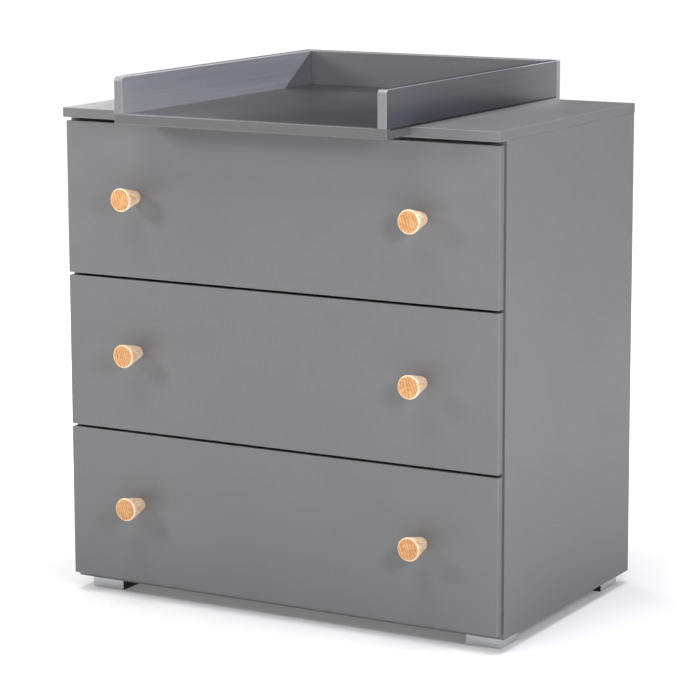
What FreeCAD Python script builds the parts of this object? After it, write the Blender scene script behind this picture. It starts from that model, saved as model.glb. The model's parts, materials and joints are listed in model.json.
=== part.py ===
import FreeCAD, Part
import math
import os
import re
import Sketcher

# A nursery chest of three drawers that carries a lift-off changing tray.
# Millimetres.  +X is the user's right, -Y the drawer side, +Z up.  The origin lies on the
# floor, at the middle of the whole object's footprint.

DIMENSIONS = {
    "chest_width": 800,
    "chest_depth": 500,
    "chest_height": 818,
    "board": 16,
    "board_edge": 1,
    "hardboard": 3,
    "side_setback": 24,
    "back_margin": 2,
    "stretcher_depth": 80,
    "front_setback": 6,
    "front_inset": 2.5,
    "front_bottom": 31,
    "front_height": 252,
    "front_gap": 4.5,
    "foot_height": 22,
    "foot_size": 60,
    "foot_side_inset": 15,
    "foot_end_inset": 18,
    "foot_screw_near": 22,
    "foot_screw_far": 44,
    "cover_sheet": 1.5,
    "cover_lift": 0.5,
    "drawer_board": 15,
    "drawer_depth": 450,
    "drawer_height": 180,
    "drawer_lift": 20,
    "groove_lift": 10,
    "groove_depth": 6,
    "groove_play": 0.5,
    "runner_space": 13,
    "runner_length": 400,
    "runner_lift": 65,
    "runner_sheet": 1.2,
    "runner_start": 3,
    "runner_lip": 3,
    "cabinet_runner_height": 35,
    "cabinet_runner_reach": 9.5,
    "drawer_runner_height": 24,
    "drawer_runner_reach": 9,
    "knob_spacing": 528,
    "knob_lift": 7,
    "knob_face": 39.8,
    "knob_base": 21,
    "knob_length": 44,
    "knob_rim": 3,
    "knob_bore": 22,
    "knob_grip": 20,
    "tray_width": 494,
    "tray_front_overhang": 75,
    "tray_rear_overhang": 35,
    "tray_play": 1,
    "nosing_lip": 12,
    "rail_height": 60,
    "rail_corner": 8,
    "rail_edge": 2,
    "fit_play": 0.1,
    "dowel_radius": 4,
    "dowel_length": 30,
    "dowel_depth": 10,
    "top_dowel_end": 60,
    "stretcher_dowel_end": 25,
    "bottom_dowel_end": 110,
    "drawer_dowel_low": 45,
    "drawer_dowel_high": 150,
    "tray_dowel_end": 30,
    "tray_dowel_low": 22,
    "tray_dowel_high": 45,
    "cam_radius": 7.5,
    "cam_depth": 12.5,
    "cam_distance": 34,
    "top_cam_end": 95,
    "bottom_cam_end": 150,
    "bolt_radius": 3,
    "bolt_depth": 11,
    "screw_radius": 2,
    "screw_length": 12,
    "head_radius": 3.5,
    "head_height": 2,
    "nail_radius": 0.8,
    "nail_length": 22,
    "nail_margin": 40,
    "nail_head_radius": 2,
    "nail_head_height": 0.6,
}

# Places worked out from the driving dimensions.
WORKTOP_FRONT = "(tray_front_overhang - tray_rear_overhang - chest_depth) / 2"
WORKTOP_REAR = f"({WORKTOP_FRONT} + chest_depth)"
WORKTOP_BOTTOM = "(chest_height - board)"
SIDE_FRONT = f"({WORKTOP_FRONT} + side_setback)"
CARCASE_REAR = f"({WORKTOP_REAR} - hardboard)"
CARCASE_DEPTH = f"({CARCASE_REAR} - {SIDE_FRONT})"
INNER_HALF = "(chest_width / 2 - board)"
FRONT_REAR = f"({WORKTOP_FRONT} + front_setback + board)"
BOX_HALF = f"({INNER_HALF} - runner_space)"
RUNNER_FRONT = f"({SIDE_FRONT} + runner_start)"
TRAY_FRONT = f"({WORKTOP_FRONT} - tray_front_overhang)"
TRAY_REAR = f"({WORKTOP_REAR} + tray_rear_overhang)"
BACK_RAIL_FRONT = f"({TRAY_REAR} - board)"
TRAY_FLOOR = "(chest_height + hardboard)"

SIDES = {"left": -1, "right": 1}
ENDS = {"front": -1, "rear": 1}
LEVELS = {"lower": 0, "middle": 1, "upper": 2}
RUNNER_SCREW_PLACES = (35, 190, 365)
SIDE_NAILS = 7
BOARD_NAILS = 5
TURNS = {
    "x": FreeCAD.Rotation(FreeCAD.Vector(0, 1, 0), 90),
    "y": FreeCAD.Rotation(FreeCAD.Vector(1, 0, 0), -90),
    "z": FreeCAD.Rotation(),
}

doc = FreeCAD.newDocument("changing_table")
sheet = doc.addObject("Spreadsheet::Sheet", "dims")
nodes = []


def fill_sheet():
    """Write one row per driving dimension: its name, and its value under that alias."""
    for row, (alias, value) in enumerate(DIMENSIONS.items(), start=1):
        sheet.set(f"A{row}", alias)
        sheet.set(f"B{row}", str(value))
        sheet.setAlias(f"B{row}", alias)
    doc.recompute()


def expression(formula):
    """Put the sheet's name in front of every alias in a formula."""
    return re.sub(
        r"[a-z]\w+",
        lambda word: f"dims.{word.group()}" if word.group() in DIMENSIONS else word.group(),
        formula,
    )


def bind(item, formulas):
    for name, formula in formulas.items():
        item.setExpression(name, expression(formula))
    return item


def place(item, x, y, z):
    return bind(item, {"Placement.Base.x": x, "Placement.Base.y": y, "Placement.Base.z": z})


def node(item, name):
    """Register a finished sub-part under its own label."""
    item.Label = name
    nodes.append(item)


def box(size, corner):
    """A box from its three sizes and its lowest corner."""
    item = doc.addObject("Part::Box", "Box")
    bind(item, dict(zip(("Length", "Width", "Height"), size)))
    return place(item, *corner)


def lowest_x(side, outer, width):
    """The lower end of something whose outer end is at a distance from the middle plane."""
    return f"-({outer})" if side < 0 else f"{outer} - ({width})"


def rod(radius, length, start, axis):
    """A round bar that runs from its start along +X, +Y or +Z."""
    item = doc.addObject("Part::Cylinder", "Rod")
    item.Placement.Rotation = TURNS[axis]
    bind(item, {"Radius": radius, "Height": length})
    return place(item, *start)


def sideways(side, radius, length, outer, y, z):
    """The measures of a round bar along X whose outer end is at a distance from the middle."""
    return radius, length, (lowest_x(side, outer, length), y, z), "x"


def joined(shapes):
    item = doc.addObject("Part::MultiFuse", "Fusion")
    item.Shapes = shapes
    return item


def group(shapes):
    item = doc.addObject("Part::Compound", "Group")
    item.Links = shapes
    return item


def cut(base, tools):
    item = doc.addObject("Part::Cut", "Cut")
    item.Base = base
    item.Tool = tools[0] if len(tools) == 1 else group(tools)
    return item


def rods(rows):
    return [rod(*row) for row in rows]


def bored(base, rows):
    """Cut a running clearance bore for each round bar."""
    return cut(base, [rod(f"{radius} + fit_play", *rest) for radius, *rest in rows])


def screws(shanks, heads):
    return [joined([rod(*shank), rod(*head)]) for shank, head in zip(shanks, heads)]


def outline(body, role, corners):
    """Draw a closed outline on one of the body's origin planes, each corner set by the sheet."""
    sketch = body.newObject("Sketcher::SketchObject", "Outline")
    plane = next(item for item in body.Origin.OriginFeatures if item.Role == role)
    sketch.AttachmentSupport = (plane, [""])
    sketch.MapMode = "FlatFace"
    count = len(corners)
    turns = [2 * math.pi * i / count for i in range(count)]
    ring = [FreeCAD.Vector(10 * math.cos(turn), 10 * math.sin(turn), 0) for turn in turns]
    for i in range(count):
        sketch.addGeometry(Part.LineSegment(ring[i], ring[(i + 1) % count]), False)
    for i in range(count):
        sketch.addConstraint(Sketcher.Constraint("Coincident", i, 2, (i + 1) % count, 1))
    for i, corner in enumerate(corners):
        for kind, formula in zip(("DistanceX", "DistanceY"), corner):
            index = sketch.addConstraint(Sketcher.Constraint(kind, -1, 1, i, 1, 1.0))
            sketch.setExpression(f"Constraints[{index}]", expression(formula))
    return sketch


def pad(role, corners, length, reverse=False):
    """A body padded from one outline."""
    body = doc.addObject("PartDesign::Body", "Body")
    feature = body.newObject("PartDesign::Pad", "Pad")
    feature.Profile = outline(body, role, corners)
    feature.Reversed = reverse
    bind(feature, {"Length": length})
    body.Tip = feature
    doc.recompute()
    return body


def rounded(body, radius, wanted):
    """Round every edge of the body that is wanted, judged by the edge's middle."""
    base = body.Tip
    names = [
        f"Edge{i}" for i, edge in enumerate(base.Shape.Edges, start=1) if wanted(edge.BoundBox.Center)
    ]
    feature = body.newObject("PartDesign::Fillet", "Round")
    feature.Base = (base, names)
    bind(feature, {"Radius": radius})
    doc.recompute()
    return body


def rectangle(low, high):
    return [low, (high[0], low[1]), high, (low[0], high[1])]


def slab(size, corner, radius="board_edge"):
    """A board like a box, with every edge eased."""
    body = pad("XY_Plane", rectangle(("0", "0"), size[:2]), size[2])
    return place(rounded(body, radius, lambda middle: True), *corner)


def cabinet_dowels(sides=(-1, 1), joints=("top", "stretcher", "bottom")):
    """The dowels that locate the carcase boards, by side and by the board they hold."""
    ends = {"top": "top_dowel_end", "stretcher": "stretcher_dowel_end", "bottom": "bottom_dowel_end"}
    heights = {"stretcher": f"{WORKTOP_BOTTOM} - board / 2", "bottom": "foot_height + board / 2"}
    rows = []
    for side in sides:
        for joint in joints:
            for y in (f"{SIDE_FRONT} + {ends[joint]}", f"{CARCASE_REAR} - {ends[joint]}"):
                if joint == "top":
                    x = f"{side} * (chest_width - board) / 2"
                    start = (x, y, f"{WORKTOP_BOTTOM} + dowel_depth - dowel_length")
                    rows.append(("dowel_radius", "dowel_length", start, "z"))
                else:
                    outer = f"{INNER_HALF} + dowel_depth"
                    rows.append(
                        sideways(side, "dowel_radius", "dowel_length", outer, y, heights[joint])
                    )
    return rows


def cam_places(sides, joints):
    """Side, joint and y of the cam fittings."""
    ends = {"top": "top_cam_end", "bottom": "bottom_cam_end"}
    for side in sides:
        for joint in joints:
            yield side, joint, f"{SIDE_FRONT} + {ends[joint]}"
            yield side, joint, f"{CARCASE_REAR} - {ends[joint]}"


def cam_housings(sides=(-1, 1), joints=("top", "bottom")):
    """Cams in the side panels' inner faces and in the bottom panel's underside."""
    rows = []
    for side, joint, y in cam_places(sides, joints):
        if joint == "top":
            z = f"{WORKTOP_BOTTOM} - cam_distance"
            rows.append(sideways(side, "cam_radius", "cam_depth", f"{INNER_HALF} + cam_depth", y, z))
        else:
            x = f"{side} * ({INNER_HALF} - cam_distance)"
            rows.append(("cam_radius", "cam_depth", (x, y, "foot_height"), "z"))
    return rows


def cam_bolts(sides=(-1, 1), joints=("top", "bottom")):
    """The bolts that run from each cam's rim into the joined panel."""
    reach = "(cam_distance - cam_radius - fit_play)"
    length = f"{reach} + bolt_depth"
    rows = []
    for side, joint, y in cam_places(sides, joints):
        if joint == "top":
            x = f"{side} * (chest_width - board) / 2"
            rows.append(("bolt_radius", length, (x, y, f"{WORKTOP_BOTTOM} - {reach}"), "z"))
        else:
            z = "foot_height + board / 2"
            rows.append(sideways(side, "bolt_radius", length, f"{INNER_HALF} + bolt_depth", y, z))
    return rows


def level_bottom(level):
    """The height of a drawer front's lower edge."""
    return f"(front_bottom + {level} * (front_height + front_gap))"


def runner_screws(sides=(-1, 1)):
    """Shanks and heads of the screws that hold the cabinet runners."""
    shanks = []
    heads = []
    for side in sides:
        for level in LEVELS.values():
            for place_along in RUNNER_SCREW_PLACES:
                y = f"{RUNNER_FRONT} + {place_along}"
                z = f"{level_bottom(level)} + runner_lift"
                length = "screw_length + runner_sheet"
                outer = f"{INNER_HALF} + screw_length"
                shanks.append(sideways(side, "screw_radius", length, outer, y, z))
                outer = f"{INNER_HALF} - runner_sheet"
                heads.append(sideways(side, "head_radius", "head_height", outer, y, z))
    return shanks, heads


def foot_edge(end):
    """The y of a foot's outer face, at the front or the rear."""
    return f"({SIDE_FRONT} + foot_end_inset)" if end < 0 else f"({WORKTOP_REAR} - foot_end_inset)"


def foot_screws(sides=(-1, 1), ends=(-1, 1)):
    """Shanks and heads of the screws up through the feet, and the bores below their heads."""
    shanks = []
    heads = []
    recesses = []
    for side in sides:
        for end in ends:
            for across, along in (
                ("foot_screw_far", "foot_screw_near"),
                ("foot_screw_near", "foot_screw_far"),
            ):
                x = f"{side} * (chest_width / 2 - foot_side_inset - {across})"
                y = f"{foot_edge(end)} - {end} * {along}"
                length = "foot_height + screw_length - head_height"
                shanks.append(("screw_radius", length, (x, y, "head_height"), "z"))
                heads.append(("head_radius", "head_height", (x, y, "head_height"), "z"))
                recesses.append(("head_radius", "head_height", (x, y, "0"), "z"))
    return shanks, heads, recesses


def evenly(low, high, count):
    """Places spread evenly from one formula to another."""
    return [f"{low} + {i} / {count - 1} * ({high} - ({low}))" for i in range(count)]


def back_nails(boards=("left", "right", "bottom", "stretcher")):
    """Shanks and heads of the nails through the back panel, by the board that holds them."""
    places = []
    for board in boards:
        if board in SIDES:
            x = f"{SIDES[board]} * (chest_width - board) / 2"
            heights = evenly("foot_height + nail_margin", f"{WORKTOP_BOTTOM} - nail_margin", SIDE_NAILS)
            places += [(x, z) for z in heights]
        else:
            z = "foot_height + board / 2" if board == "bottom" else f"{WORKTOP_BOTTOM} - board / 2"
            half = f"({INNER_HALF} - 2 * nail_margin)"
            places += [(x, z) for x in evenly(f"-{half}", half, BOARD_NAILS)]
    shanks = [("nail_radius", "nail_length", (x, f"{WORKTOP_REAR} - nail_length", z), "y") for x, z in places]
    heads = [("nail_head_radius", "nail_head_height", (x, WORKTOP_REAR, z), "y") for x, z in places]
    return shanks, heads


def make_worktop():
    corner = ("-chest_width / 2", WORKTOP_FRONT, WORKTOP_BOTTOM)
    board = slab(("chest_width", "chest_depth", "board"), corner)
    node(bored(board, cabinet_dowels(joints=("top",)) + cam_bolts(joints=("top",))), "worktop")


def make_side_panels():
    for name, side in SIDES.items():
        size = ("board", CARCASE_DEPTH, f"{WORKTOP_BOTTOM} - foot_height")
        corner = (lowest_x(side, "chest_width / 2", "board"), SIDE_FRONT, "foot_height")
        fittings = cabinet_dowels((side,)) + cam_housings((side,), ("top",)) + cam_bolts((side,))
        fittings += runner_screws((side,))[0] + back_nails((name,))[0]
        node(bored(box(size, corner), fittings), f"side_panel_{name}")


def make_bottom_panel():
    panel = box(
        (f"2 * {INNER_HALF}", CARCASE_DEPTH, "board"), (f"-{INNER_HALF}", SIDE_FRONT, "foot_height")
    )
    joint = ("bottom",)
    fittings = cabinet_dowels(joints=joint) + cam_housings(joints=joint) + cam_bolts(joints=joint)
    fittings += foot_screws()[0] + back_nails(joint)[0]
    node(bored(panel, fittings), "bottom_panel")


def make_stretchers():
    """Two flat rails that tie the side panels together under the worktop."""
    size = (f"2 * {INNER_HALF}", "stretcher_depth", "board")
    places = {"front": SIDE_FRONT, "rear": f"{CARCASE_REAR} - stretcher_depth"}
    for name, y in places.items():
        rail = box(size, (f"-{INNER_HALF}", y, f"{WORKTOP_BOTTOM} - board"))
        fittings = cabinet_dowels(joints=("stretcher",))
        if name == "rear":
            fittings += back_nails(("stretcher",))[0]
        node(bored(rail, fittings), f"{name}_stretcher")


def make_back_panel():
    size = (
        "chest_width - 2 * back_margin",
        "hardboard",
        f"{WORKTOP_BOTTOM} - foot_height - back_margin",
    )
    corner = ("back_margin - chest_width / 2", CARCASE_REAR, "foot_height + back_margin")
    shanks, heads = back_nails()
    node(bored(box(size, corner), shanks), "back_panel")
    node(group(screws(shanks, heads)), "back_panel_nails")


def make_fittings():
    node(group(rods(cabinet_dowels())), "cabinet_dowels")
    node(group(rods(cam_housings())), "cam_housings")
    node(group(rods(cam_bolts())), "cam_bolts")
    node(group(screws(*runner_screws())), "runner_screws")


def foot_box(side, end, inset, size, bottom):
    """A square box in a foot's outer corner, set in from the two outer faces, up to the chest."""
    outer = f"chest_width / 2 - foot_side_inset - {inset}"
    y = f"{foot_edge(end)} + {inset}" if end < 0 else f"{foot_edge(end)} - {inset} - ({size})"
    return box((size, size, f"foot_height - {bottom}"), (lowest_x(side, outer, size), y, bottom))


def make_feet():
    """Square plastic feet, each with a thin metal angle over its two outer faces."""
    for end_name, end in ENDS.items():
        for side_name, side in SIDES.items():
            block = foot_box(side, end, "cover_sheet", "foot_size - cover_sheet", "0")
            shanks, heads, recesses = foot_screws((side,), (end,))
            node(bored(block, shanks + heads + recesses), f"foot_block_{end_name}_{side_name}")
            plate = foot_box(side, end, "0", "foot_size", "cover_lift")
            hollow = foot_box(side, end, "cover_sheet", "foot_size", "0")
            node(cut(plate, [hollow]), f"foot_cover_{end_name}_{side_name}")
    shanks, heads, _ = foot_screws()
    node(group(screws(shanks, heads)), "foot_screws")


def channel(side, level, kind, web, opens):
    """An open steel channel along Y; its web is at a distance in from the side panel."""
    half = f"{kind}_height / 2"
    steps = {
        "web": web,
        "inside": f"{web} + {opens} * runner_sheet",
        "lip": f"{web} + {opens} * ({kind}_reach - runner_sheet)",
        "tip": f"{web} + {opens} * {kind}_reach",
    }
    upper = [
        ("inside", f"{half} - runner_sheet"),
        ("lip", f"{half} - runner_sheet"),
        ("lip", f"{half} - runner_lip"),
        ("tip", f"{half} - runner_lip"),
        ("tip", half),
        ("web", half),
    ]
    lower = [(step, f"-({up})") for step, up in reversed(upper)]
    corners = [(f"{side} * ({INNER_HALF} - ({steps[step]}))", up) for step, up in upper + lower]
    body = pad("XZ_Plane", corners, "runner_length", reverse=True)
    return place(body, "0", RUNNER_FRONT, f"{level_bottom(level)} + runner_lift")


def make_cabinet_runners():
    for name, side in SIDES.items():
        channels = [channel(side, level, "cabinet_runner", "0", 1) for level in LEVELS.values()]
        shanks, _ = runner_screws((side,))
        node(bored(group(channels), shanks), f"cabinet_runners_{name}")


def drawer_bottom(level, play):
    """A drawer's thin bottom, or without play the groove that holds it."""
    reach = f"({BOX_HALF} - drawer_board + groove_depth - {play})"
    front = f"({FRONT_REAR} - groove_depth + {play})"
    size = (f"2 * {reach}", f"{FRONT_REAR} + drawer_depth - {front}", "hardboard")
    return box(size, (f"-{reach}", front, f"{level_bottom(level)} + drawer_lift + groove_lift"))


def drawer_dowels(level, sides=(-1, 1), ends=("front", "back")):
    """The dowels of a drawer box, from its sides into the front and into the back."""
    rows = []
    for side in sides:
        for height in ("drawer_dowel_low", "drawer_dowel_high"):
            z = f"{level_bottom(level)} + drawer_lift + {height}"
            if "front" in ends:
                x = f"{side} * ({BOX_HALF} - drawer_board / 2)"
                start = (x, f"{FRONT_REAR} - dowel_depth", z)
                rows.append(("dowel_radius", "dowel_length", start, "y"))
            if "back" in ends:
                outer = f"{BOX_HALF} - drawer_board + dowel_depth"
                y = f"{FRONT_REAR} + drawer_depth - drawer_board / 2"
                rows.append(sideways(side, "dowel_radius", "dowel_length", outer, y, z))
    return rows


def knob_screws(level):
    """Shanks and heads of the screws through a drawer front into its two knobs."""
    shanks = []
    heads = []
    for side in SIDES.values():
        x = f"{side} * knob_spacing / 2"
        z = f"{level_bottom(level)} + front_height / 2 + knob_lift"
        start = (x, f"{FRONT_REAR} - board - knob_grip", z)
        shanks.append(("screw_radius", "board + knob_grip", start, "y"))
        heads.append(("head_radius", "head_height", (x, FRONT_REAR, z), "y"))
    return shanks, heads


def knob(level, side):
    """A turned knob that widens from its base to its face, bored for its screw."""
    body = doc.addObject("PartDesign::Body", "Body")
    sketch = outline(
        body,
        "XY_Plane",
        [
            ("screw_radius + fit_play", "0"),
            ("knob_base / 2", "0"),
            ("knob_face / 2", "-knob_length"),
            ("0", "-knob_length"),
            ("0", "-knob_bore"),
            ("screw_radius + fit_play", "-knob_bore"),
        ],
    )
    turned = body.newObject("PartDesign::Revolution", "Turned")
    turned.Profile = sketch
    turned.ReferenceAxis = (sketch, ["V_Axis"])
    turned.Angle = 360
    body.Tip = turned
    doc.recompute()
    face = DIMENSIONS["knob_rim"] - DIMENSIONS["knob_length"]
    rim = [
        f"Edge{i}"
        for i, edge in enumerate(turned.Shape.Edges, start=1)
        if edge.isClosed() and edge.BoundBox.YMax < face
    ]
    softened = body.newObject("PartDesign::Fillet", "Rim")
    softened.Base = (turned, rim)
    bind(softened, {"Radius": "knob_rim"})
    doc.recompute()
    x = f"{side} * knob_spacing / 2"
    z = f"{level_bottom(level)} + front_height / 2 + knob_lift"
    return place(body, x, f"{FRONT_REAR} - board", z)


def make_drawer(name, level):
    bottom = level_bottom(level)
    shanks, heads = knob_screws(level)
    front = slab(
        ("chest_width - 2 * front_inset", "board", "front_height"),
        ("front_inset - chest_width / 2", f"{FRONT_REAR} - board", bottom),
    )
    front = bored(front, shanks + drawer_dowels(level, ends=("front",)))
    node(cut(front, [drawer_bottom(level, "0")]), f"{name}_drawer_front")
    for side_name, side in SIDES.items():
        corner = (lowest_x(side, BOX_HALF, "drawer_board"), FRONT_REAR, f"{bottom} + drawer_lift")
        wall = box(("drawer_board", "drawer_depth", "drawer_height"), corner)
        wall = bored(wall, drawer_dowels(level, (side,)))
        node(cut(wall, [drawer_bottom(level, "0")]), f"{name}_drawer_side_{side_name}")
        node(knob(level, side), f"{name}_drawer_knob_{side_name}")
    wall_half = f"({BOX_HALF} - drawer_board)"
    back = box(
        (f"2 * {wall_half}", "drawer_board", "drawer_height - groove_lift - hardboard"),
        (
            f"-{wall_half}",
            f"{FRONT_REAR} + drawer_depth - drawer_board",
            f"{bottom} + drawer_lift + groove_lift + hardboard",
        ),
    )
    node(bored(back, drawer_dowels(level, ends=("back",))), f"{name}_drawer_back")
    node(drawer_bottom(level, "groove_play"), f"{name}_drawer_bottom")
    channels = [
        channel(side, level, "drawer_runner", "runner_space", -1) for side in SIDES.values()
    ]
    node(group(channels), f"{name}_drawer_runners")
    node(group(screws(shanks, heads)), f"{name}_drawer_knob_screws")
    node(group(rods(drawer_dowels(level))), f"{name}_drawer_dowels")


def tray_dowels(parts=("front", "rail", "batten")):
    """The dowels of the tray: nosing to side rails, back rail to side rails and to the batten."""
    rows = []
    for side in SIDES.values():
        x = f"{side} * (tray_width - board) / 2"
        if "front" in parts:
            start = (x, f"{TRAY_FRONT} + tray_dowel_end", f"{TRAY_FLOOR} - dowel_depth")
            rows.append(("dowel_radius", "dowel_length", start, "z"))
        start_y = f"{BACK_RAIL_FRONT} + dowel_depth - dowel_length"
        if "rail" in parts:
            for height in ("tray_dowel_low", "tray_dowel_high"):
                start = (x, start_y, f"{TRAY_FLOOR} + {height}")
                rows.append(("dowel_radius", "dowel_length", start, "y"))
        if "batten" in parts:
            start = (
                f"{side} * tray_width / 4",
                f"{BACK_RAIL_FRONT} - dowel_depth",
                f"{WORKTOP_BOTTOM} + board / 2",
            )
            rows.append(("dowel_radius", "2 * dowel_depth", start, "y"))
    return rows


def side_rail(side):
    """A side rail with a well-rounded upper front corner and eased edges."""
    body = pad(
        "YZ_Plane",
        rectangle((TRAY_FRONT, TRAY_FLOOR), (BACK_RAIL_FRONT, f"{TRAY_FLOOR} + rail_height")),
        "board",
    )
    bounds = body.Shape.BoundBox
    middle = bounds.Center
    rounded(
        body,
        "rail_corner",
        lambda point: point.y < bounds.YMin + 1 and point.z > bounds.ZMax - 1,
    )
    rounded(
        body,
        "rail_edge",
        lambda point: abs(point.x - middle.x) > 1 and point.z > bounds.ZMin + 1 and point.y < bounds.YMax - 1,
    )
    return place(body, lowest_x(side, "tray_width / 2", "board"), "0", "0")


def make_tray():
    for name, side in SIDES.items():
        fittings = tray_dowels(("front", "rail"))
        node(bored(side_rail(side), fittings), f"tray_rail_{name}")

    height = f"({TRAY_FLOOR} + rail_height - {WORKTOP_BOTTOM})"
    back = slab(
        ("tray_width", "board", height),
        ("-tray_width / 2", BACK_RAIL_FRONT, WORKTOP_BOTTOM),
        "rail_edge",
    )
    node(bored(back, tray_dowels(("rail", "batten"))), "tray_back_rail")

    nosing_depth = "tray_front_overhang - tray_play"
    nosing = slab(
        ("tray_width", nosing_depth, "board"),
        ("-tray_width / 2", TRAY_FRONT, f"{TRAY_FLOOR} - board"),
    )
    floor_corner = ("-tray_width / 2", f"{TRAY_FRONT} + nosing_lip", "chest_height")
    floor_depth = f"{BACK_RAIL_FRONT} - {TRAY_FRONT} - nosing_lip"
    rebate = box(("tray_width", nosing_depth, "board"), floor_corner)
    node(bored(cut(nosing, [rebate]), tray_dowels(("front",))), "tray_front_nosing")
    floor = box(("tray_width", floor_depth, "hardboard"), floor_corner)
    node(bored(floor, tray_dowels(("front",))), "tray_floor_panel")

    batten_front = f"({WORKTOP_REAR} + tray_play)"
    batten = box(
        ("tray_width", f"{BACK_RAIL_FRONT} - {batten_front}", "board"),
        ("-tray_width / 2", batten_front, WORKTOP_BOTTOM),
    )
    node(bored(batten, tray_dowels(("batten",))), "tray_rear_batten")
    node(group(rods(tray_dowels())), "tray_dowels")


def write_parts():
    """Check every object and write each sub-part to its own file."""
    doc.recompute()
    for item in doc.Objects:
        if "Invalid" in item.State or "Error" in item.State:
            raise RuntimeError(f"{item.Label} did not build: {item.State}")
    os.makedirs("parts", exist_ok=True)
    for item in nodes:
        if item.Shape.isNull() or not item.Shape.isValid():
            raise RuntimeError(f"{item.Label} has no valid shape")
        item.Shape.exportStep(f"parts/{item.Label}.step")


fill_sheet()
make_worktop()
make_side_panels()
make_bottom_panel()
make_stretchers()
make_back_panel()
make_fittings()
make_feet()
make_cabinet_runners()
for level_name, level_number in LEVELS.items():
    make_drawer(level_name, level_number)
make_tray()
write_parts()
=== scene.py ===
import json
import math

import bpy
from mathutils import Matrix, Vector

# ---------------------------------------------------------------- frame

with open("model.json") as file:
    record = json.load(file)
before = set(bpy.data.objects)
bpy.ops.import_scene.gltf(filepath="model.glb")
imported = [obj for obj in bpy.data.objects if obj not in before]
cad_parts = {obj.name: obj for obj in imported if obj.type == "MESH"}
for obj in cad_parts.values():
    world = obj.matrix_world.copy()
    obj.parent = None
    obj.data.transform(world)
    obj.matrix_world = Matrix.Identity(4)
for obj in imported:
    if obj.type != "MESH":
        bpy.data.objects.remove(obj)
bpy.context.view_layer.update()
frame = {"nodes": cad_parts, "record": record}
nodes = frame["nodes"]


# ---------------------------------------------------------------- node helpers


class Graph:
    """A small wrapper round a node tree, so that a material reads as a list of steps."""

    def __init__(self, name):
        self.material = bpy.data.materials.new(name)
        self.material.use_nodes = True
        self.tree = self.material.node_tree
        self.tree.nodes.clear()
        self.output = self.tree.nodes.new("ShaderNodeOutputMaterial")
        self.shader = self.tree.nodes.new("ShaderNodeBsdfPrincipled")
        self.tree.links.new(self.shader.outputs["BSDF"], self.output.inputs["Surface"])

    def add(self, kind, **settings):
        node = self.tree.nodes.new(kind)
        for key, value in settings.items():
            setattr(node, key, value)
        return node

    def feed(self, socket, value):
        """Link a socket to another one, or set it to a constant."""
        if isinstance(value, bpy.types.NodeSocket):
            self.tree.links.new(value, socket)
        else:
            socket.default_value = value

    def set(self, **values):
        """Set or link sockets of the main shader, written with underscores for spaces."""
        for key, value in values.items():
            self.feed(self.shader.inputs[key.replace("_", " ")], value)

    def place(self):
        """Object coordinates: metres in the assembly's own frame."""
        return self.add("ShaderNodeTexCoord").outputs["Object"]

    def stretched(self, scale):
        """Object coordinates multiplied by a scale on each axis."""
        mapping = self.add("ShaderNodeMapping")
        self.feed(mapping.inputs["Vector"], self.place())
        mapping.inputs["Scale"].default_value = scale
        return mapping.outputs["Vector"]

    def noise(self, vector, scale, detail, rough, distortion=0.0):
        node = self.add("ShaderNodeTexNoise")
        self.feed(node.inputs["Vector"], vector)
        node.inputs["Scale"].default_value = scale
        node.inputs["Detail"].default_value = detail
        node.inputs["Roughness"].default_value = rough
        node.inputs["Distortion"].default_value = distortion
        return node.outputs["Fac"]

    def math(self, operation, *values):
        node = self.add("ShaderNodeMath", operation=operation)
        for socket, value in zip(node.inputs, values):
            self.feed(socket, value)
        return node.outputs[0]

    def spread(self, value, low, high, to_low=0.0, to_high=1.0, smooth=False):
        """Map the range low to high onto to_low to to_high, and hold it beyond the ends."""
        node = self.add("ShaderNodeMapRange")
        if smooth:
            node.interpolation_type = "SMOOTHSTEP"
        self.feed(node.inputs["Value"], value)
        node.inputs["From Min"].default_value = low
        node.inputs["From Max"].default_value = high
        node.inputs["To Min"].default_value = to_low
        node.inputs["To Max"].default_value = to_high
        return node.outputs["Result"]

    def mix(self, factor, a, b):
        node = self.add("ShaderNodeMix", data_type="RGBA")
        self.feed(node.inputs["Factor"], factor)
        colours = [socket for socket in node.inputs if socket.type == "RGBA"]
        self.feed(colours[0], a)
        self.feed(colours[1], b)
        return next(socket for socket in node.outputs if socket.type == "RGBA")

    def axis(self, name, vector):
        node = self.add("ShaderNodeSeparateXYZ")
        self.feed(node.inputs[0], vector)
        return node.outputs[name]

    def facing(self, name):
        """1 where a surface is square to an axis and 0 where it runs along it."""
        normal = self.add("ShaderNodeTexCoord").outputs["Normal"]
        return self.math("ABSOLUTE", self.axis(name, normal))

    def rounding(self):
        """1 on the rounded edges of a square-cut piece and 0 on its flat faces."""
        x, y, z = (self.facing(name) for name in "XYZ")
        flatness = self.math("MAXIMUM", self.math("MAXIMUM", x, y), z)
        return self.spread(flatness, 0.99, 0.8)

    def bump(self, height, distance, strength):
        node = self.add("ShaderNodeBump")
        self.feed(node.inputs["Height"], height)
        node.inputs["Distance"].default_value = distance
        node.inputs["Strength"].default_value = strength
        return node.outputs["Normal"]


def rgb(red, green, blue):
    """A linear colour from 8-bit display values."""

    def channel(value):
        value /= 255
        return value / 12.92 if value <= 0.04045 else ((value + 0.055) / 1.055) ** 2.4

    return (channel(red), channel(green), channel(blue), 1.0)


def strokes(along, across_scale, along_scale):
    """Scales that draw a pattern out along one axis."""
    return tuple(along_scale if axis == along else across_scale for axis in "xyz")


# ---------------------------------------------------------------- materials
# Colours are 8-bit display values. Noise scales are per metre, and bump distances are in metres.

# Painted highlight: how much paler a board's rounded edges are made, for the light they catch.
EDGE_HIGHLIGHT = 26
# Painted light: the lighter colour given to the end faces of the tray's rails, for the light that
# falls on them.
LIT_END_FACES = (122, 122, 123)
LACQUER_SPECULAR = 0.4
STREAK_COAT_ROUGHNESS = 0.2
METAL_LINE_SHADE = 0.82

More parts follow.
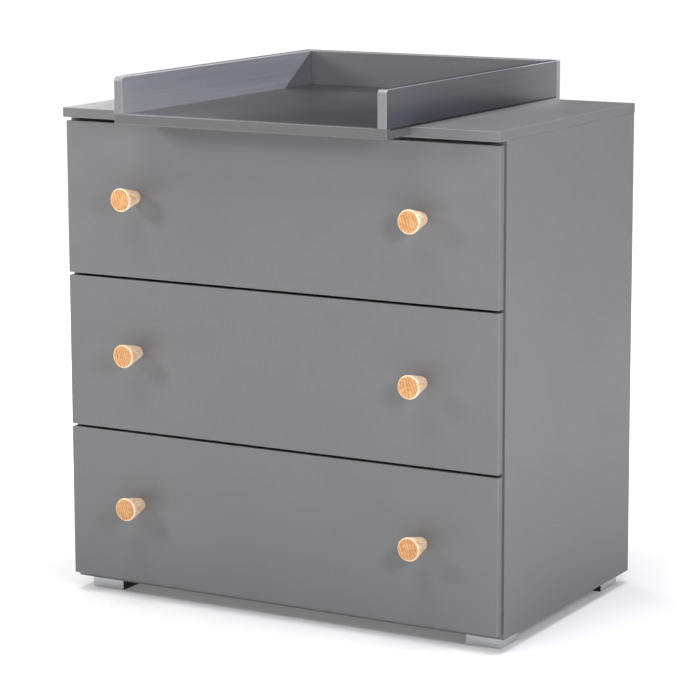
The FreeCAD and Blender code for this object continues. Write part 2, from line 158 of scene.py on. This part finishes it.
END_GRAIN = ((222, 174, 120), (172, 110, 56))
LONG_GRAIN = ((255, 240, 212), (238, 192, 144))
RING_SLANT = 0.3
RING_RATE = 1300.0
RING_WANDER = 22.0


def edge_highlight(colour):
    """A painted highlight on a lacquered board's rounded edges: its colour made paler for the
    light the rounding catches.
    """
    return rgb(*[value + EDGE_HIGHLIGHT for value in colour])


def grey_board(name, light, dark, shine):
    """Lacquered board: even grey, a fine orange-peel surface and faint cloudy gloss."""
    g = Graph(name)
    clouds = g.noise(g.place(), 7.0, 3.0, 0.55)
    specks = g.noise(g.place(), 900.0, 2.0, 0.6)
    tone = g.math("MULTIPLY_ADD", specks, 0.35, g.math("MULTIPLY", clouds, 0.65))
    colour = g.mix(g.spread(tone, 0.3, 0.7), rgb(*dark), rgb(*light))
    # Rounded edges get a paler colour as a painted highlight.
    g.set(Base_Color=g.mix(g.rounding(), colour, edge_highlight(light)))
    g.set(Roughness=g.spread(clouds, 0.3, 0.7, shine - 0.03, shine + 0.04))
    g.set(Specular_IOR_Level=LACQUER_SPECULAR)
    peel = g.noise(g.place(), 420.0, 3.0, 0.55)
    g.set(Normal=g.bump(peel, 0.00012, 0.35))
    return g.material


def streaked_board(name, along, light, dark, ends=None, shine=0.32, gloss=0.35, coat=0.3):
    """Glossy lacquer laid on with long strokes: faint streaks along one axis.

    Where ends are given, the faces cut across that axis have that plain, lighter colour as painted
    light: the light that falls on those end faces is painted into them.
    """
    g = Graph(name)
    threads = g.noise(g.stretched(strokes(along, 900.0, 5.0)), 1.0, 4.0, 0.7)
    bands = g.noise(g.stretched(strokes(along, 150.0, 2.0)), 1.0, 3.0, 0.6)
    tone = g.math("MULTIPLY_ADD", threads, 0.5, g.math("MULTIPLY", bands, 0.5))
    colour = g.mix(g.spread(tone, 0.35, 0.65), rgb(*dark), rgb(*light))
    if ends is not None:
        # End faces get the given lighter colour as painted light.
        cut = g.spread(g.facing(along.upper()), 0.55, 0.9, smooth=True)
        colour = g.mix(cut, colour, rgb(*ends))
    # Rounded edges get a paler colour as a painted highlight.
    g.set(Base_Color=g.mix(g.rounding(), colour, edge_highlight(ends or light)))
    g.set(Roughness=g.spread(threads, 0.3, 0.7, shine - 0.04, shine + 0.06))
    g.set(Specular_IOR_Level=gloss, Coat_Weight=coat, Coat_Roughness=STREAK_COAT_ROUGHNESS)
    g.set(Normal=g.bump(tone, 0.00006, 0.15))
    return g.material


def knob_wood():
    """Clear-finished turned wood: patchy end grain on the face, pale long grain round the side."""
    g = Graph("knob_wood")
    wander = g.noise(g.stretched((55.0, 6.0, 40.0)), 1.0, 3.0, 0.65)
    slant = g.math("MULTIPLY", g.axis("Z", g.place()), RING_SLANT)
    across = g.math("MULTIPLY", g.math("ADD", g.axis("X", g.place()), slant), RING_RATE)
    rings = g.math("SINE", g.math("MULTIPLY_ADD", wander, RING_WANDER, across))
    pores = g.noise(g.stretched((1100.0, 30.0, 700.0)), 1.0, 4.0, 0.7)
    patches = g.noise(g.stretched((110.0, 20.0, 160.0)), 1.0, 3.0, 0.6)
    spots = g.math("MULTIPLY_ADD", pores, 0.5, g.math("MULTIPLY", patches, 0.45))
    grain = g.math("MULTIPLY_ADD", g.spread(rings, -1.0, 1.0), 0.16, spots)
    end_grain = g.mix(g.spread(grain, 0.4, 0.72), *[rgb(*shade) for shade in END_GRAIN])
    around = g.noise(g.stretched((430.0, 9.0, 430.0)), 1.0, 3.0, 0.65)
    long_grain = g.mix(g.spread(around, 0.36, 0.6), *[rgb(*shade) for shade in LONG_GRAIN])
    face = g.spread(g.facing("Y"), 0.9, 0.985, smooth=True)
    g.set(Base_Color=g.mix(face, long_grain, end_grain))
    g.set(Roughness=g.spread(pores, 0.3, 0.7, 0.42, 0.58), Specular_IOR_Level=0.35)
    g.set(Normal=g.bump(grain, 0.0001, 0.3))
    return g.material


def brushed_metal(name, along, colour, rough):
    """Metal brushed in one direction: fine lines in tone, gloss and relief."""
    g = Graph(name)
    lines = g.noise(g.stretched(strokes(along, 2600.0, 20.0)), 1.0, 4.0, 0.7)
    shaded = rgb(*[int(value * METAL_LINE_SHADE) for value in colour])
    g.set(Base_Color=g.mix(g.spread(lines, 0.36, 0.64), shaded, rgb(*colour)))
    g.set(Metallic=1.0)
    g.set(Roughness=g.spread(lines, 0.3, 0.7, rough - 0.03, rough + 0.06))
    g.set(Normal=g.bump(lines, 0.00005, 0.3))
    return g.material


def moulded_plastic():
    """Black plastic with a fine moulded grain."""
    g = Graph("foot_plastic")
    grain = g.noise(g.place(), 1400.0, 2.0, 0.5)
    g.set(Base_Color=g.mix(g.spread(grain, 0.3, 0.7), rgb(20, 20, 21), rgb(28, 28, 29)))
    g.set(Roughness=g.spread(grain, 0.3, 0.7, 0.45, 0.6))
    g.set(Normal=g.bump(grain, 0.0001, 0.4))
    return g.material


def hardboard(name, light, dark, rough):
    """Smooth-faced fibreboard with a faint matted-fibre pattern."""
    g = Graph(name)
    fibres = g.noise(g.place(), 260.0, 5.0, 0.7, 0.6)
    clouds = g.noise(g.place(), 9.0, 3.0, 0.5)
    tone = g.math("MULTIPLY_ADD", fibres, 0.5, g.math("MULTIPLY", clouds, 0.5))
    g.set(Base_Color=g.mix(g.spread(tone, 0.32, 0.68), rgb(*dark), rgb(*light)))
    g.set(Roughness=g.spread(fibres, 0.3, 0.7, rough - 0.06, rough + 0.06))
    g.set(Normal=g.bump(fibres, 0.0001, 0.4))
    return g.material


def beech():
    """Plain dry wood for the dowels."""
    g = Graph("dowel_wood")
    fibres = g.noise(g.stretched((900.0, 900.0, 900.0)), 1.0, 3.0, 0.6)
    g.set(Base_Color=g.mix(g.spread(fibres, 0.3, 0.7), rgb(196, 152, 104), rgb(216, 176, 128)))
    g.set(Roughness=g.spread(fibres, 0.3, 0.7, 0.55, 0.7))
    g.set(Normal=g.bump(fibres, 0.0001, 0.4))
    return g.material


MATERIALS = {
    "grey_board": grey_board("grey_board", (112, 112, 113), (107, 107, 108), 0.4),
    "grey_hardboard": hardboard("grey_hardboard", (126, 124, 121), (116, 114, 111), 0.5),
    "drawer_board": grey_board("drawer_board", (150, 150, 149), (144, 144, 143), 0.45),
    "knob_wood": knob_wood(),
    "foot_plastic": moulded_plastic(),
    "foot_metal": brushed_metal("foot_metal", "x", (232, 233, 235), 0.5),
    "runner_steel": brushed_metal("runner_steel", "y", (160, 162, 166), 0.34),
    "screw_steel": brushed_metal("screw_steel", "z", (166, 167, 170), 0.36),
    "cam_zinc": brushed_metal("cam_zinc", "z", (146, 147, 150), 0.42),
    "dowel_wood": beech(),
}
# The tray's boards are one grey lacquer whose streaks run in directions of their own; their
# different shades are painted light and shade: the right rail darkened and tinted cool as painted
# shade, the left rail tinted cool and the left and back rails lighter as painted light, the nosing
# and floor darker as painted shade.
NODE_MATERIALS = {
    "tray_rail_left": streaked_board("left_rail", "y", (113, 113, 119), (98, 98, 104), LIT_END_FACES),
    "tray_rail_right": streaked_board("right_rail", "y", (75, 75, 83), (62, 62, 69), LIT_END_FACES),
    "tray_back_rail": streaked_board("back_rail", "x", (116, 116, 117), (108, 108, 109)),
    "tray_front_nosing": streaked_board("nosing", "x", (98, 98, 98), (91, 91, 91)),
    "tray_floor_panel": streaked_board(
        "tray_floor", "x", (60, 60, 62), (40, 40, 42), shine=0.36, gloss=0.14, coat=0.02
    ),
}
NODE_MATERIALS["tray_rear_batten"] = NODE_MATERIALS["tray_back_rail"]

slots = {row["node"]: row["material_slot"] for row in frame["record"]["subparts"]}
for name, item in nodes.items():
    material = NODE_MATERIALS.get(name, MATERIALS[slots[name]])
    for place in item.material_slots:
        place.material = material

# ---------------------------------------------------------------- floor

# The floor is matt white, and glows more with distance so that it ends in plain white.
FLOOR_REACH = 30.0
FLOOR_WHITE = (0.93, 0.93, 0.93, 1.0)
GLOW_STARTS, GLOW_FULL = 0.45, 2.2
GLOW_NEAR, GLOW_FAR = 0.15, 1.0
WHITE = (1.0, 1.0, 1.0, 1.0)

corners = ((-1, -1), (1, -1), (1, 1), (-1, 1))
floor_mesh = bpy.data.meshes.new("floor")
floor_mesh.from_pydata(
    [(x * FLOOR_REACH, y * FLOOR_REACH, 0) for x, y in corners], [], [(0, 1, 2, 3)]
)
floor = bpy.data.objects.new("floor", floor_mesh)
bpy.context.scene.collection.objects.link(floor)
paint = Graph("floor_paint")
distance = paint.add("ShaderNodeVectorMath", operation="LENGTH")
paint.feed(distance.inputs[0], paint.place())
glow = paint.spread(
    distance.outputs["Value"], GLOW_STARTS, GLOW_FULL, GLOW_NEAR, GLOW_FAR, smooth=True
)
paint.set(Base_Color=FLOOR_WHITE, Roughness=0.8, Specular_IOR_Level=0.1)
paint.set(Emission_Color=WHITE, Emission_Strength=glow)
paint.material.cycles.emission_sampling = "NONE"
floor_mesh.materials.append(paint.material)


# ---------------------------------------------------------------- light


def hang(name, data, azimuth, elevation, distance, target):
    """Hang a light so that it faces its target; azimuth 0 is in front and 90 is on the right."""
    turn, rise = math.radians(azimuth), math.radians(elevation)
    reach = math.cos(rise)
    away = Vector((math.sin(turn) * reach, -math.cos(turn) * reach, math.sin(rise)))
    hung = bpy.data.objects.new(name, data)
    hung.location = Vector(target) + away * distance
    hung.rotation_euler = (-away).to_track_quat("-Z", "Y").to_euler()
    bpy.context.scene.collection.objects.link(hung)


MIDDLE = (0.0, 0.0, 0.45)
TRAY = (-0.12, 0.2, 0.86)
PLAIN = (1.0, 1.0, 1.0)
COOL = (0.93, 0.92, 1.0)
# Each row: name, side (m), power (W), colour, azimuth, elevation, distance (m), target.
SOFTBOXES = (
    ("front_left", 0.45, 17.0, PLAIN, -45.0, 27.0, 2.0, (-0.2, -0.3, 0.55)),
    ("front_right", 0.35, 20.0, COOL, 48.0, 22.0, 1.9, (0.4, -0.3, 0.5)),
    ("rear_left", 1.0, 17.0, PLAIN, -130.0, 30.0, 3.2, MIDDLE),
    ("overhead", 1.6, 75.0, PLAIN, 0.0, 88.0, 3.2, MIDDLE),
    ("overhead_front", 1.2, 33.0, PLAIN, -10.0, 60.0, 3.2, MIDDLE),
    ("overhead_right", 1.0, 29.0, COOL, 95.0, 70.0, 2.2, (0.2, 0.1, 0.8)),
)
for name, side, power, colour, *where in SOFTBOXES:
    softbox = bpy.data.lights.new(name, "AREA")
    softbox.shape = "SQUARE"
    softbox.size = side
    softbox.energy = power
    softbox.color = colour
    hang(name, softbox, *where)

# A narrow spot picks out the inside of the tray.
accent = bpy.data.lights.new("tray_accent", "SPOT")
accent.energy = 480.0
accent.spot_size = math.radians(13.0)
accent.spot_blend = 0.5
accent.shadow_soft_size = 0.03
hang("tray_accent", accent, 135.0, 24.0, 3.2, TRAY)

# The surroundings are plain white where they are seen, and dim as a source of light.
SURROUND_LIGHT, SURROUND_SEEN = 0.04, 1.02
world = bpy.data.worlds.new("studio")
world.use_nodes = True
bpy.context.scene.world = world
backdrop = world.node_tree.nodes["Background"]
backdrop.inputs["Color"].default_value = WHITE
seen = world.node_tree.nodes.new("ShaderNodeLightPath")
strength = world.node_tree.nodes.new("ShaderNodeMapRange")
strength.inputs["To Min"].default_value = SURROUND_LIGHT
strength.inputs["To Max"].default_value = SURROUND_SEEN
world.node_tree.links.new(seen.outputs["Is Camera Ray"], strength.inputs["Value"])
world.node_tree.links.new(strength.outputs["Result"], backdrop.inputs["Strength"])

# ---------------------------------------------------------------- camera

# Place in metres, angles in radians, and lens and shift in widths of the picture.
CAMERA_PLACE = Vector((2.2533, -3.9517, 1.2706))
CAMERA_YAW = 0.5163
CAMERA_PITCH = 0.1688
CAMERA_ROLL = -0.0030
FOCAL_IN_WIDTHS = 3.972
SHIFT_UP = -0.0714286

level_reach = math.cos(CAMERA_PITCH)
ahead = Vector(
    (
        -math.sin(CAMERA_YAW) * level_reach,
        math.cos(CAMERA_YAW) * level_reach,
        -math.sin(CAMERA_PITCH),
    )
)
level = ahead.cross(Vector((0, 0, 1))).normalized()
upright = level.cross(ahead)
right = level * math.cos(CAMERA_ROLL) + upright * math.sin(CAMERA_ROLL)
up = upright * math.cos(CAMERA_ROLL) - level * math.sin(CAMERA_ROLL)
facing = Matrix((right, up, -ahead)).transposed().to_4x4()
camera_data = bpy.data.cameras.new("camera")
camera_data.lens = camera_data.sensor_width * FOCAL_IN_WIDTHS
camera_data.shift_y = SHIFT_UP
camera = bpy.data.objects.new("camera", camera_data)
camera.matrix_world = Matrix.Translation(CAMERA_PLACE) @ facing
bpy.context.scene.collection.objects.link(camera)
bpy.context.scene.camera = camera
bpy.context.scene.view_settings.view_transform = "Standard"
